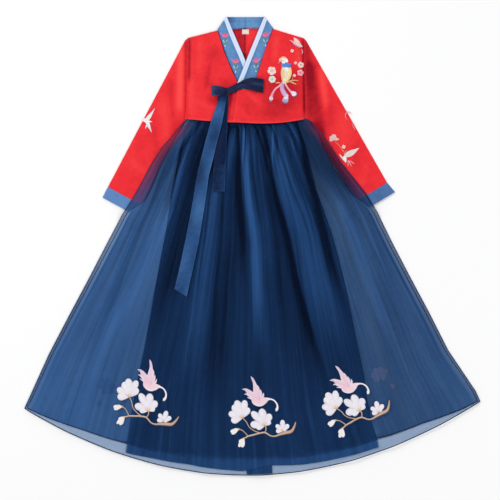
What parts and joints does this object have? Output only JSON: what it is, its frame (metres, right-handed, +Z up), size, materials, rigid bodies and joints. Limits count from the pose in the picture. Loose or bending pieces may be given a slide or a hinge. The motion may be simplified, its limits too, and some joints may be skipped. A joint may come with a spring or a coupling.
{
  "type": "korean hanbok",
  "caption": "Child's hanbok laid flat, face up: red jacket with blue collar and cuffs, navy ribbon bow, and a wide gathered navy organza skirt that fans out over a blue lining.",
  "frame": {"origin": "on the surface the garment lies on, at the centre of its outline", "axes": "+Z up off the surface, out of the garment's front; +Y towards the neck; +X to the right as seen from the front"},
  "size_m": [1.092, 1.0993, 0.0224],
  "materials": {
    "jacket_red": "plain-woven satin-faced cotton blend, soft sheen",
    "cuff_blue": "plain-woven, soft sheen",
    "collar_blue": "brocade-like woven band with embroidered flowers",
    "strip_white": "stiff pressed white strip",
    "label_cream": "plain woven label, blank",
    "ribbon_navy": "satin ribbon",
    "organza_navy": "sheer organza, crisp, slight sheen",
    "inner_navy": "dense organza under the sheer layer",
    "lining_blue": "opaque plain lining"
  },
  "bodies": {
    "root": {"jacket_back_left": "jacket_red", "jacket_back_right": "jacket_red", "jacket_front_left": "jacket_red", "jacket_front_right": "jacket_red", "sleeve_left": "jacket_red", "sleeve_right": "jacket_red", "cuff_left": "cuff_blue", "cuff_right": "cuff_blue", "collar": "collar_blue", "collar_strip": "strip_white", "neck_label": "label_cream", "ribbon_root": "ribbon_navy", "ribbon_knot": "ribbon_navy", "ribbon_loop": "ribbon_navy", "ribbon_tail_long": "ribbon_navy", "ribbon_tail_short": "ribbon_navy", "waistband": "lining_blue", "skirt_overlay_front": "organza_navy", "skirt_overlay_back": "organza_navy", "skirt_inner_front": "inner_navy", "skirt_lining_front": "lining_blue", "skirt_lining_back": "lining_blue"}
  },
  "joints": []
}
